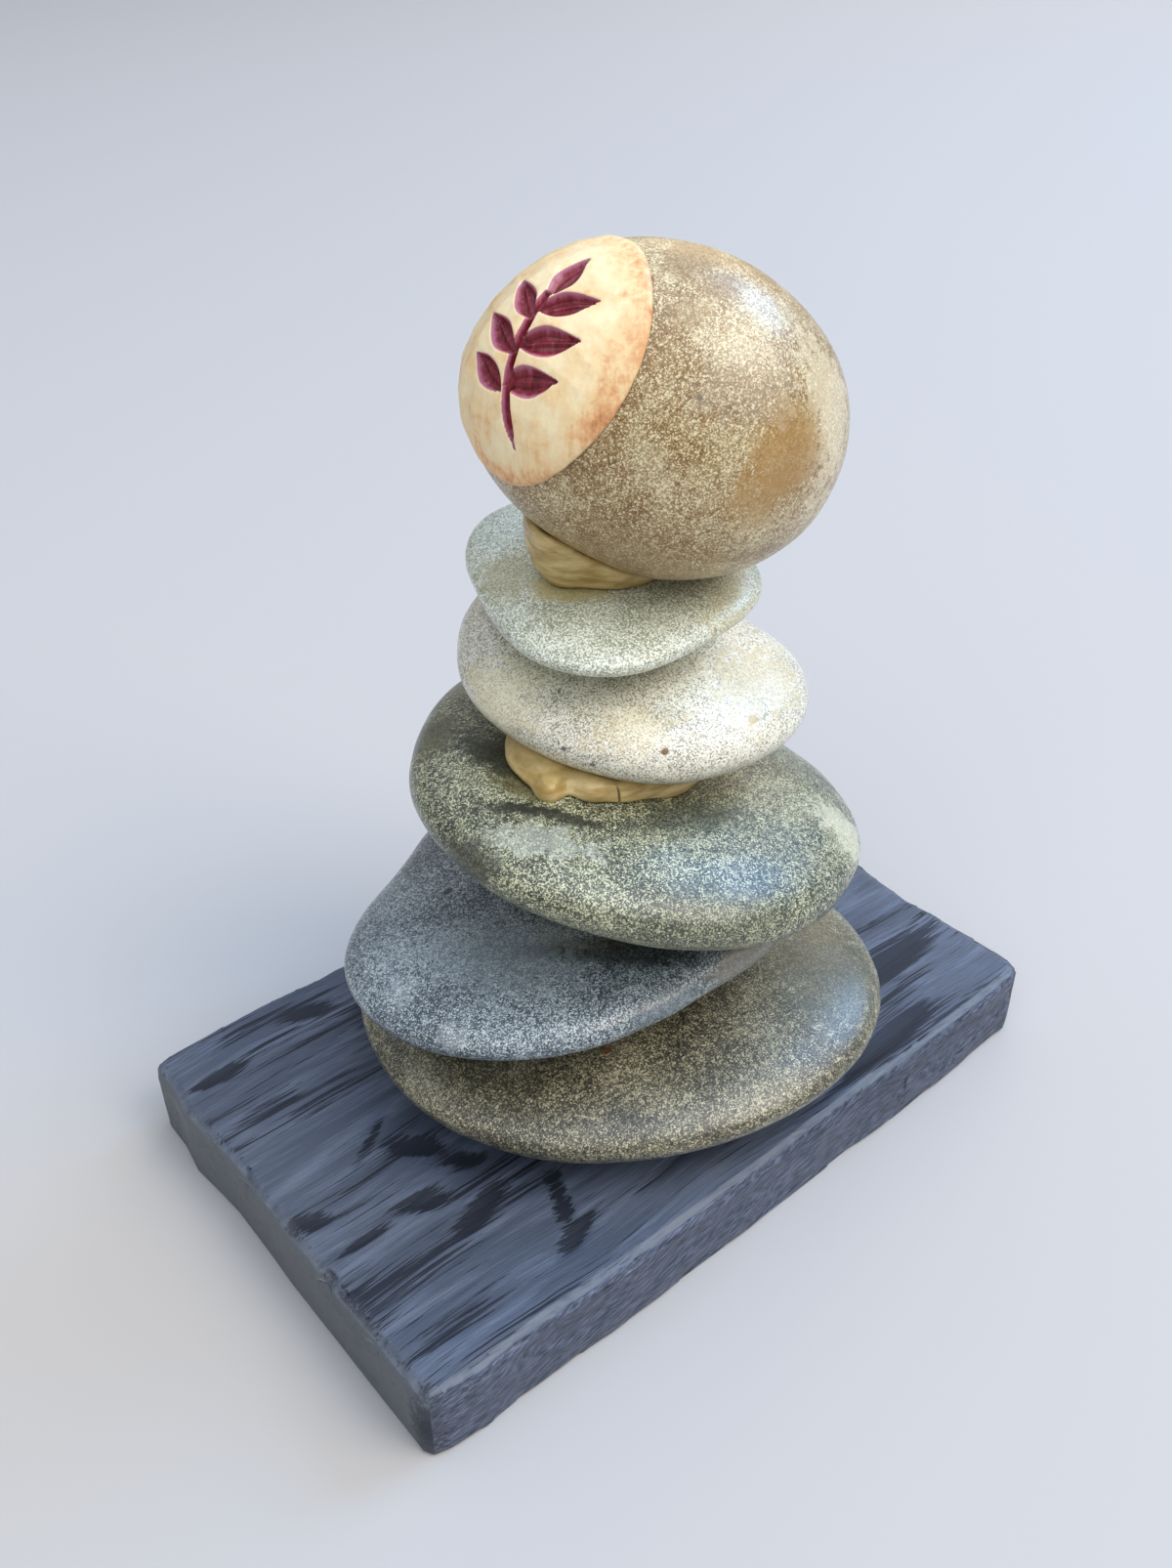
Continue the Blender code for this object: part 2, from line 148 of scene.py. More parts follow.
STONE_LOOKS = (
    StoneLook(
        node="bottom_stone", slot="olive_stone",
        dark="#2c2a23", body="#5f5d49", light="#bbb498",
        cloud="#5c5c4f", cloud_share=0.5,
        fleck=0.7, fleck_share=0.16, cluster=1.5,
        contrast=0.72, skew=2.0, knotting=1.3, clouding=0.8,
        roughness=0.42, swell=0.5,
        marks=(
            # Painted shade: darkens the right end of the stone's top, shaded by the stones above.
            Mark((33, -38, 40), (26, 18, 10), 60, "#504f38", 0.65, 1.2),
            Mark((-21.9, -27.3, 43.0), (1.6, 1.0, 1.0), 0, "#7a4a26", 0.7, 0.5),
        ),
    ),
    StoneLook(
        node="slate_stone", slot="blue_grey_stone",
        dark="#353d43", body="#5e6e7a", light="#bcc6c8",
        cloud="#5a6774", cloud_share=0.5,
        fleck=0.7, fleck_share=0.22, cluster=1.6,
        contrast=1.05, skew=2.0, knotting=1.4, clouding=0.9,
        roughness=0.4, swell=0.5,
        dents=(Dent((0.7, -40.0, 57.8), (16, 7, 6), -20, 1.2),),
        marks=(
            # Painted shadow: a near-black band along the joint under the speckled stone.
            Mark((-16, -22, 63.3), (24, 5, 5), -42, "#22282b", 0.65, 0.5),
            # Painted light: lifts the middle of the slate, which the speckled stone above shades.
            Mark((-34, -8, 63), (22, 14, 6), -60, "#98a4ab", 0.45, 1.4),
            Mark((-28.7, 17.6, 61.2), (1.8, 1.1, 1.5), 20, "#15181c", 0.95, 0.5),
            Mark((-54, -0.4, 60), (5, 3.5, 4), 30, "#c4cccf", 0.25, 2.0),
            Mark((-52.8, -16.9, 59.4), (5, 3.5, 4), 70, "#c4cccf", 0.25, 2.0),
            Mark((6, -38.5, 59), (20, 5, 5), 12, "#8d8a80", 0.75, 0.5),
            Mark((-12, -39, 59.5), (16, 3.5, 4), -12, "#6f7c86", 0.6, 0.4),
        ),
    ),
    StoneLook(
        node="speckled_stone", slot="speckled_stone",
        dark="#292e26", body="#646953", light="#cccdae",
        cloud="#6c6e54", cloud_share=0.5,
        fleck=0.7, fleck_share=0.18, cluster=1.4,
        contrast=0.95, skew=2.0, knotting=1.4, clouding=0.9,
        roughness=0.42, swell=0.5,
        marks=(
            # Painted shade: darkens the lower front, which gets less light from above.
            Mark((-10, -46, 85), (28, 8, 8), -30, "#53584d", 0.35, 1.4),
            # Painted shade: a dark band just under the cream stone's front edge.
            Mark((0, -26, 92), (20, 6, 8), -12, "#3a423e", 0.6, 1.2),
            # Painted light: a warm pale patch on the right end, where light from the right falls.
            Mark((38, -37, 76), (15, 8, 10), -62, "#e2e0c6", 0.55, 1.2),
            Mark((-24.6, 24.1, 97), (12, 8, 8), 60, "#4b4a30", 0.75, 1.1),
            Mark((-6.6, 43.5, 91.6), (12, 8, 8), 20, "#54502f", 0.75, 1.1),
            Mark((-20, 5, 99), (17, 8, 6), 100, "#26291f", 0.85, 1.0),
            Mark((-24, -5, 99), (9, 4, 4), 110, "#57502a", 0.75, 1.0),
            Mark((-24, -14.5, 97.6), (13, 2.0, 4), -52, "#23261f", 0.85, 1.6),
            Mark((-29, -8.5, 98.4), (10, 1.6, 4), -40, "#23261f", 0.8, 1.6),
            Mark((-30, -19, 96.6), (13, 5, 5), -48, "#c9cfc6", 0.4, 2.0),
            Mark((-41.5, -10, 92.5), (9, 6, 6), -60, "#35372a", 0.75, 1.1),
            Mark((47.6, -21, 76), (8, 1.0, 3), -62, "#3a3320", 0.8, 0.4),
        ),
    ),
    StoneLook(
        node="cream_stone", slot="cream_stone",
        dark="#8e8872", body="#dddbce", light="#f4f2e6",
        cloud="#dcd3b0", cloud_share=0.5,
        fleck=0.8, fleck_share=0.06, cluster=1.6,
        contrast=1.05, skew=0.8, knotting=1.0, clouding=1.1,
        roughness=0.45, swell=0.4,
        marks=(
            Mark((-4.7, -24.0, 108.5), (1.1, 0.8, 0.9), 0, "#6e4a10", 1.0, 0.3),
            Mark((16.2, -26.8, 108.2), (1.8, 1.2, 1.3), 0, "#a8823a", 0.8, 0.8),
            Mark((-7.8, -18.1, 111.6), (12, 6, 5), -20, "#d2c294", 0.4, 1.8),
            # Partly a yellowish patch of the stone, lightened as painted light on the left side.
            Mark((-21.7, 5.7, 113), (14, 10, 9), 70, "#dcd3ac", 0.5, 1.5),
            # Painted light: tints the right side yellowish, for the warm light from the right.
            Mark((24, -20, 110), (16, 11, 8), 10, "#cfc196", 0.6, 1.6),
            Mark((-13.1, -3, 115.6), (1.0, 0.5, 0.8), 40, "#5d5646", 0.8, 0.4),
            Mark((-18.5, -10.7, 108.3), (0.8, 0.8, 0.8), 0, "#4d4638", 0.8, 0.4),
            Mark((-15.6, -15.6, 106), (0.8, 0.8, 0.6), 0, "#4d4638", 0.8, 0.4),
        ),
    ),
    StoneLook(
        node="pale_green_stone", slot="pale_green_stone",
        dark="#93967f", body="#cdd3c0", light="#f1f6ec",
        cloud="#c4c6ae", cloud_share=0.4,
        fleck=0.7, fleck_share=0.14, cluster=1.3,
        contrast=1.25, skew=1.5, knotting=0.8, clouding=0.9,
        roughness=0.42, swell=0.3,
        marks=(
            # Painted light: tints the left end yellowish, for warm light from the left.
            Mark((-10, 16, 131.6), (10, 9, 5), 0, "#a89c66", 0.45, 1.2),
            Mark((11.6, -19.7, 126.7), (0.5, 0.6, 1.4), 0, "#857350", 0.7, 0.4),
            Mark((14.5, -20.2, 126.7), (0.5, 0.6, 1.4), 0, "#857350", 0.6, 0.4),
            Mark((-5.5, 3.5, 132), (10, 5.5, 3), -50, "#bfb27c", 0.75, 0.5),
            # Painted light: tints the right side yellowish, for the warm light from the right.
            Mark((20, -16, 127), (14, 7, 8), 30, "#cfc396", 0.4, 1.2),
        ),
    ),
    StoneLook(
        node="top_stone", slot="tan_stone",
        dark="#7c5f33", body="#aa8d5d", light="#e3d8b4",
        cloud="#b9aa86", cloud_share=0.6,
        fleck=0.8, fleck_share=0.18, cluster=1.6,
        contrast=0.8, skew=2.0, knotting=1.2, clouding=0.9,
        roughness=0.45, swell=0.4,
        marks=(
            # Painted highlight: a warm pale patch on the right side, where the light from the right falls.
            Mark((28, -27, 168), (11, 7, 24), 20, "#f4e8c6", 0.5, 1.6),
            # Darker brown towards the bottom: partly the stone's own brown, partly painted shade.
            Mark((-4, -14, 143), (26, 20, 11), 0, "#86673a", 0.4, 1.2),
            Mark((15.5, -31.5, 165), (10, 9, 10.5), 0, "#a98446", 0.75, 0.9),
            Mark((9.2, -30.8, 157.8), (8, 7, 7), 0, "#a98446", 0.6, 1.0),
            Mark((13.1, -8.7, 193.3), (10, 6, 5), 20, "#8f7142", 0.6, 0.8),
            Mark((13.2, -16.0, 189.5), (5, 4, 3), 0, "#94763f", 0.55, 0.8),
            Mark((5.2, -16.5, 186.8), (5, 4, 3), 0, "#94763f", 0.45, 0.8),
            Mark((1.7, -23.0, 175.4), (0.7, 0.7, 0.7), 0, "#4c3c24", 0.8, 0.3),
            # Painted highlight: a whitish sheen on the upper right front.
            Mark((10, -26, 176), (13, 8, 10), -20, "#dcd6c8", 0.2, 1.2),
        ),
    ),
)

GRAIN_SIZE = 0.23  # about the width of the stones' sand grains
CLOUD_SIZE = 16  # of the large patches
FLECK_LIFT = 0.6  # how much lighter the rare large grains are
STAIN_EDGE_SIZE = 2.4  # of the noise that breaks up the edges of stains
GRAIN_RELIEF = 0.06  # how deep the dark grains are worn
SWELL_LENGTH = 24  # length of the long waves
RIPPLE_LENGTH = 8
RIPPLE_SHARE = 0.3  # height of the ripples, as a part of the waves'
SEED_STEP = 7.3  # sets the waves of one stone apart from the next one's


# ---- the board: sizes ----

BOARD_TOP = 19  # its thickness
BOARD_SLICE = (1.4, 0.45, 1.2)  # longest step between slices along, across and up
# The worn layer is the pale front rim: partly paint worn thin, partly a painted highlight of the sky on the
# chamfer.
BOARD_LAYERS = ("cut", "end", "worn", "side")  # how far each place of the skin is one of these
CUT_DEPTH = 0.5
CUT_HEIGHT = 4  # half-size of a cut upwards, which takes in all of the top's hollows


def slash(start, end, width, depth=CUT_DEPTH):
    """A cut in the board's top between two places."""
    (x0, y0), (x1, y1) = start, end
    return Dent(
        ((x0 + x1) / 2, (y0 + y1) / 2, BOARD_TOP),
        (math.hypot(x1 - x0, y1 - y0) / 2, width / 2, CUT_HEIGHT),
        math.degrees(math.atan2(y1 - y0, x1 - x0)),
        depth,
    )


# Length and width of the streaks in the paint
BROAD_GRAIN = (42, 2.6)
FINE_GRAIN = (26, 0.45)
GRAIN_REGIONS = (70, 20)
BRUSH_STROKES = (34, 4)
SCUFFS = (3.6, 0.4)

SCUFF_TURN = 14  # how far the scratches on the long sides are turned up from the grain
SCUFF_STRENGTH = 0.8
PAINT_SWAY = 5  # how far the streaks wander sideways
SWAY_LENGTH = 60
PAINT_RELIEF = 0.25  # how deep the streaks are
RAISED_GRAIN = (30, 2.4, 2.4)  # length, width and height of the grain's ridges
WANDER_LENGTH = 11  # along which the wear of the rims comes and goes
FOOT_HEIGHT = 0.5  # below it the board keeps its thickness, so that it stands flat
RIM_WEAR = (4.5, 0.8)  # how far in from the edge the top's wear begins and is whole
RIM_WANDER = 2.2
RIM_ROWS = (12, 16)  # the heights between which the rim's wear sets in
RIM_DROP = 0.9
# The pale front rim is partly paint worn thin and partly a painted highlight; it comes and goes in
# stretches.
SHEEN_AND_RUB_LENGTH = 30  # of the stretches in which the front rim is rubbed pale
SHEEN_AND_RUB_LEAST = 0.35  # how pale it is between them
FRONT_SWELL = 2.6  # how far the long front side bulges out
FRONT_SWELL_AT = 12  # where along the board the bulge is highest
FRONT_SWELL_REACH = 95
FRONT_SWELL_ROWS = (-42, -54)  # where across the board the bulge begins and is whole
SCALLOP_DEPTH = 0.7  # of the hollows that the sides are planed in
SCALLOP_SIZE = (14, 8, 7)
END_PAINT = (4.5, 0.5)  # how far in over the top the ends' grey paint begins and is whole
END_WANDER = 1.5
END_STRENGTH = 0.6  # how well that paint covers the top
END_SMOOTHNESS = 0.9  # how much less the ends are hollowed
CORNER_FACET = Dent((-88.8, -53.1, 9), (7, 7, 16), 0, 0)
BOARD_CHIPS = (
    Dent((-88.8, -19.7, 18.4), (3.2, 3.2, 6), 0, 1.6),
    Dent((-88.8, 12, 18.4), (2.5, 5, 5), 0, 0.8),
    Dent((-89, -37, 18.4), (2.5, 4, 5), 0, 0.6),
)
BOARD_CUTS = (
    slash((-71, -1), (-50, 11), 5),
    slash((-63, 3), (-48, -13), 9),
    slash((-59, -9), (-43, -17), 9),
    slash((-72, -13.5), (-55, -20.5), 9),
    slash((-66, -30), (-44, -22), 8),
    slash((-36, -24), (-47, -47), 6.5),
    slash((-54, -47), (-36, -41), 6.5),
    slash((-92, -2), (-76, -10.5), 7),
    slash((-86, -17), (-69, -17.5), 4),
    slash((-88, 43), (-68, 39), 8),
    slash((-62, 48), (-42, 44), 7),
    slash((38, -33), (88, -33), 13),
    slash((20, -50), (70, -47), 8),
    slash((36, 30), (86, 26), 14),
    slash((-88, -46), (-52, -38), 18, 0.16),
    slash((-86, 30), (-60, 22), 16, 0.12),
)


# ---- the glue: sizes ----

GLUE_NODES = ("glue_base", "glue_slate", "glue_speckled", "glue_cream", "glue_pale", "glue_top")
GLUE_SWELL = 0.45  # how far the putty is swelled, so that it meets the stones
GLUE_WAVE = 0.4
GLUE_WAVE_LENGTH = 7
GLUE_FOLD = 0.6  # height of the folds that the putty was pressed into
GLUE_FOLD_SIZE = (12, 12, 2.2)
GLUE_LUMPS = (
    Dent((-20.8, -9.0, 98.6), (4.2, 4.2, 4.0), 0, -2.7),
    Dent((-15, -15, 99.0), (5, 5, 3), 0, -1.3),
    Dent((-7, -18.4, 98.8), (6, 4, 3), 0, -1.0),
    Dent((3, -18.5, 98.5), (4, 3, 2.5), 0, -0.6),
)
GLUE_MARKS = (Mark((-11, -18, 98), (0.3, 4, 2.6), 0, "#5d4d2e", 0.85, 0.1),)
SMEAR_SIZE = (7, 7, 2)  # of the smears that the hand wiped round the pads
SMEAR_RELIEF = 0.2


# ---- the plaque: sizes ----

# The last layer is a painted shadow line where the clay meets the stone.
PLAQUE_LAYERS = ("carve", "edge", "seam")  # how far each place is carved, near the rim and at the joint
PLAQUE_HALF_SIZE = (17.5, 22.5)
PLAQUE_FACES = (176.0, 37.5)  # direction and rise of the way that it faces
STONE_MIDDLE = (12.0, -2.0, 161.94)
PLAQUE_SHIFT = -2.5  # from the stone's middle to the viewer's right
PLAQUE_TRIM = 0.1  # part of its reach that the oval loses at its flattened lower corner
PLAQUE_TRIM_ANGLE = -40.0
PLAQUE_TRIM_SPREAD = 75.0
PLAQUE_STEPS = 288
PLAQUE_ROWS = 60  # of the face
PLAQUE_BACK_ROWS = 8
PLAQUE_ROUNDING_STEPS = 8  # in each quarter of the rim's round
PLAQUE_LIP = 0.05  # part of the way out that the rim's round takes up
PLAQUE_BED = 1.0  # how far the stone is hollowed under the clay, so that the carving can go deep
PLAQUE_BED_RIM = (0.97, 0.86)  # the parts of the way out between which the bed goes down
PLAQUE_BACK = -0.5  # height of the clay's back above the unhollowed stone
PLAQUE_FACE = 1.15  # and at the face
FACE_SLACK = 1e-4  # how far below the face's height a vertex still counts as part of it
# The painted shadow at the joint darkens the clay's lowest edge.
JOINT_SHADOW_ROWS = (0.55, 0.2)  # the heights between which the line at the joint darkens
WASH_LEAN = 0.12  # how much further out the rim's wash begins on the left than on the right
WASH_SIZE = 6  # of the wash's patches
WASH_RELIEF = 0.25
CLAY_STROKE_SIZE = (1.2, 1.2, 9)
CLAY_STROKE_TURNS = (0.4, 0, 0.2)  # radians

STEM_AT = 0.3
STEM_ENDS = (-16, 8)
STEM_TAPER = (-16.5, -13)  # between these it widens from its foot
STEM_HALF_WIDTH = 0.9
STEM_FLOOR = 0.4  # part of its half-width that is carved to the full depth
STEM_BEND = 0.012  # how fast the stem curves away, per millimetre
LEAF_FULLNESS = 0.85  # below 1 a leaf is widest nearer to its foot
LEAF_WALL = 0.6  # part of a leaf's half-width that its carved wall slopes over
LEAF_RIB = 0.25  # part of the depth that stands up along a leaf's middle
LEAF_RIB_SIDES = (0.45, 0.1)  # how far from the middle it begins and is whole


class Leaf(NamedTuple):
    """A carved leaf of the sprig, on the plaque's face."""

    foot: tuple
    tip: tuple
    width: float


LEAVES = (
    Leaf((0.2, -9.0), (-8.4, -5.4), 5.0),
    Leaf((0.2, -8.0), (8.6, -3.6), 5.2),
    Leaf((0.2, -3.0), (-8.6, 1.4), 5.2),
    Leaf((0.3, -1.5), (9.4, 3.6), 5.4),
    Leaf((0.4, 3.2), (-7.2, 8.2), 4.8),
    Leaf((0.6, 4.8), (8.2, 10.4), 4.8),
    Leaf((0.8, 7.6), (1.2, 16.0), 4.6),
)


# ---- the stage: sizes ----

CAMERA_AT = (-160.4, -185.0, 261.4)
CAMERA_AIM = (-2.97, 1.17, 86.53)
CAMERA_ROLL = -0.44
CAMERA_LENS = 33.0
CAMERA_CLIP = 10


class Lamp(NamedTuple):
    """A square soft light, aimed at the middle of the cairn."""

    name: str
    direction: float
    rise: float
    side: float  # metres
    power: float  # watts
    colour: str


LAMPS = (
    Lamp("sky_patch", -8, 38, 1.3, 36, "#9ccaff"),
    Lamp("key", -62, 46, 1.8, 40, "#fff1dd"),
    Lamp("overhead", -80, 70, 1.5, 16, "#d4e6ff"),
    Lamp("front_fill", -150, 44, 2.4, 20, "#fbfaf6"),
    Lamp("warm_rim", 32, 22, 1.6, 9, "#ffe6c0"),
)
LAMP_AIM = (0, 0, 90)
LAMP_DISTANCE = 3.0  # metres
FLOOR_SIZE = 5.0  # metres
FLOOR_DROP = 0.05  # below the board, so that the two don't share a plane


# ---- settings ----


def colour_setting(name, description, colour):
    """A colour that a user can change."""
    return FloatVectorProperty(
        name=name, description=description, default=linear(colour), subtype="COLOR", size=4, min=0, max=1
    )


def length_setting(name, description, millimetres):
    """A length that a user can change."""
    return FloatProperty(
        name=name, description=description, default=millimetres * MM, unit="LENGTH", min=0, precision=5
    )


def stone_settings(look):
    """The property group of one stone."""
    return type(
        "CAIRN_PG_" + look.node,
        (bpy.types.PropertyGroup,),
        {
            "__annotations__": {
                "dark": colour_setting("Dark Grains", "Colour of the dark grains", look.dark),
                "body": colour_setting("Body", "Colour of the mass between the grains", look.body),
                "light": colour_setting("Light Grains", "Colour of the light grains", look.light),
                "cloud": colour_setting("Clouds", "Colour that the large patches lean to", look.cloud),
                "grain": length_setting("Grain Size", "Size of one grain", GRAIN_SIZE),
                "swell": length_setting("Swell", "Height of the long waves of the surface", look.swell),
            }
        },
    )


class CAIRN_PG_board(bpy.types.PropertyGroup):
    """The painted board."""

    paint: colour_setting("Paint", "Colour of the brushed paint", "#525b6b")
    pale: colour_setting("Pale Paint", "Colour of the last dry strokes of the brush", "#6a7486")
    ground: colour_setting("Ground", "Colour of the dark ground coat left in the grain", "#2a303c")
    # The pale front rim's colour: partly paint worn thin, partly a painted highlight of the sky on the
    # chamfer.
    highlit_and_rubbed: colour_setting("Rubbed Rim", "Colour of the paint rubbed pale along the rims", "#6c737e")
    scuffed: colour_setting("Scuffs", "Colour of the paint scratched pale on the long sides", "#7d8196")
    end: colour_setting("End Grain", "Colour of the smooth paint on the ends", "#666b70")
    groove: length_setting("Groove Depth", "Depth of the raised grain's grooves", 0.3)


class CAIRN_PG_glue(bpy.types.PropertyGroup):
    """The putty between the stones."""

    putty: colour_setting("Putty", "Colour of the set putty", "#cfba88")
    worked: colour_setting("Worked Putty", "Colour where the putty was wiped thin", "#a99057")


class CAIRN_PG_plaque(bpy.types.PropertyGroup):
    """The clay plaque."""

    ground: colour_setting("Ground", "Colour of the plaque's face", "#f9e9c2")
    ochre: colour_setting("Ochre", "Colour of the washed patches", "#f2d4a4")
    blush: colour_setting("Blush", "Colour of the wash towards the rim", "#e6b283")
    burnt: colour_setting("Burnt Rim", "Colour of the heaviest wash on the rim", "#c98f62")
    # A painted shadow: the dark line where the clay meets the stone.
    seam: colour_setting("Seam", "Colour of the line where the clay meets the stone", "#5f4427")
    wine: colour_setting("Wine", "Colour of the paint in the carving", "#8e3440")
    # Painted shade: the carving is painted darker towards its bottom.
    deep: colour_setting("Deep Wine", "Colour of the paint at the bottom of the carving", "#641e26")
    # Painted highlight: the carving's shallow walls are painted mauve.
    mauve_highlight: colour_setting("Mauve", "Colour of the paint's thin edges", "#b87890")
    depth: length_setting("Carving Depth", "Depth of the carved sprig", 1.35)


class CAIRN_PG_stage(bpy.types.PropertyGroup):
    """The floor, the lights and the camera."""

    floor: colour_setting("Floor", "Colour of the floor", "#bfbdbb")
    sky: colour_setting("Sky", "Colour of the light from above", "#e2ebfa")
    wall: colour_setting("Walls", "Colour of the light from low down, all round", "#7b7161")
    backdrop: colour_setting("Backdrop", "Colour that is seen behind the floor", "#f0f3f8")
    strength: FloatProperty(
        name="Surroundings Strength",
        description="Strength of the light from all round",
        default=0.75,
        min=0,
    )


# ---- tools ----


def add(tree, kind, sources=None, give=0, stops=(), **options):
    """Add a shader node with its options, feed its inputs from sources, and give back an output."""
    node = tree.nodes.new("ShaderNode" + kind)
    for name, value in options.items():
        setattr(node, name, value)
    if stops:
        while len(node.color_ramp.elements) < len(stops):
            node.color_ramp.elements.new(1.0)
        for element, (place, colour) in zip(node.color_ramp.elements, stops):
            element.position = place
            element.color = colour
    for name, source in (sources or {}).items():
        if isinstance(source, bpy.types.NodeSocket):
            tree.links.new(source, node.inputs[name])
        else:
            node.inputs[name].default_value = source
    return node.outputs[give]


def new_finish(name, **constants):
    """A material with its tree and shader; constants are set on the shader's own sockets."""
    material = bpy.data.materials.new(name)
    material.use_nodes = True
    tree = material.node_tree
    shader = tree.nodes["Principled BSDF"]
    for label, value in constants.items():
        shader.inputs[label.replace("_", " ")].default_value = value
    return material, tree, shader


def feed(tree, shader, **sources):
    """Link outputs to the shader's inputs."""
    for label, source in sources.items():
        tree.links.new(source, shader.inputs[label.replace("_", " ")])


def merged_copy(node):
    """A mesh maker with a CAD node's shape, its loose triangles merged."""
    maker = bmesh.new()
    maker.from_mesh(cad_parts[node].data)
    bmesh.ops.remove_doubles(maker, verts=maker.verts, dist=MERGE_DISTANCE)
    return maker


def rounded_copy(node):
    """A mesh maker with a CAD node's shape, put together in fours and smoothed by subdivision."""
    maker = merged_copy(node)
    bmesh.ops.join_triangles(
        maker,
        faces=maker.faces,
        angle_face_threshold=math.radians(60),
        angle_shape_threshold=math.radians(80),
    )
    mesh = bpy.data.meshes.new("rounding")
    maker.to_mesh(mesh)
    maker.free()
    piece = bpy.data.objects.new("rounding", mesh)
    bpy.context.scene.collection.objects.link(piece)
    rounding = piece.modifiers.new("Rounding", "SUBSURF")
    rounding.levels = SMOOTHING
    rounding.render_levels = SMOOTHING
    result = bmesh.new()
    result.from_object(piece, bpy.context.evaluated_depsgraph_get())
    result.normal_update()
    bpy.data.objects.remove(piece)
    bpy.data.meshes.remove(mesh)
    return result


def add_piece(name, maker, material):
    """A smooth-shaded object of what the maker holds."""
    mesh = bpy.data.meshes.new(name)
    maker.to_mesh(mesh)
    maker.free()
    mesh.shade_smooth()
    mesh.materials.append(material)
    piece = bpy.data.objects.new(name, mesh)
    bpy.context.scene.collection.objects.link(piece)
    return piece


def dress(piece, node):
    """Let a piece stand for a CAD node."""
    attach(piece, "root")
    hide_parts(node)


def nearness(place, spot):
    """1 at the middle of a dent or mark and 0 from its edge outwards."""
    apart = Matrix.Rotation(math.radians(-spot.turn), 3, "Z") @ (place - Vector(spot.at))
    reach = math.sqrt(sum((part / half) ** 2 for part, half in zip(apart, spot.size)))
    return ease(1 - reach)


def hollowed(place, dents):
    """How deep the dents are at a place, taken together."""
    return sum(dent.depth * nearness(place, dent) for dent in dents)


def lumps(place, size):
    """Noise from -1 to 1 whose lumps have a length, a width and a height."""
    return noise.noise(Vector([part / length for part, length in zip(place, size)]))


def heading(direction, rise):
    """The unit vector that points in a direction and rises at an angle, both in degrees."""
    direction, rise = math.radians(direction), math.radians(rise)
    level = math.cos(rise)
    return Vector((math.cos(direction) * level, math.sin(direction) * level, math.sin(rise)))


# ---- finishes ----


def spotted(tree, place, ragged, colour, mark):
    """A colour with a mark laid over it, its edge broken up by a noise; some marks are stains, some painted
    shade and painted light.
    """
    apart = add(
        tree,
        "Mapping",
        {
            "Vector": place,
            "Location": [part * MM for part in mark.at],
            "Rotation": (0, 0, math.radians(mark.turn)),
            "Scale": [half * MM for half in mark.size],
        },
        vector_type="TEXTURE",
    )
    reach = add(tree, "VectorMath", {0: apart}, give="Value", operation="LENGTH")
    uneven = add(tree, "Math", {0: ragged, 1: 2 * mark.ragged, 2: reach}, **SCALED_ONTO)
    cover = add(
        tree,
        "MapRange",
        {
            "Value": uneven,
            "From Min": 1 + mark.ragged,
            "From Max": 0.5 + mark.ragged,
            "To Max": mark.strength,
        },
        **EASED,
    )
    return add(tree, "Mix", {MIX_FACTOR: cover, MIX_A: colour, MIX_B: linear(mark.colour)}, **COLOURS_MIXED)


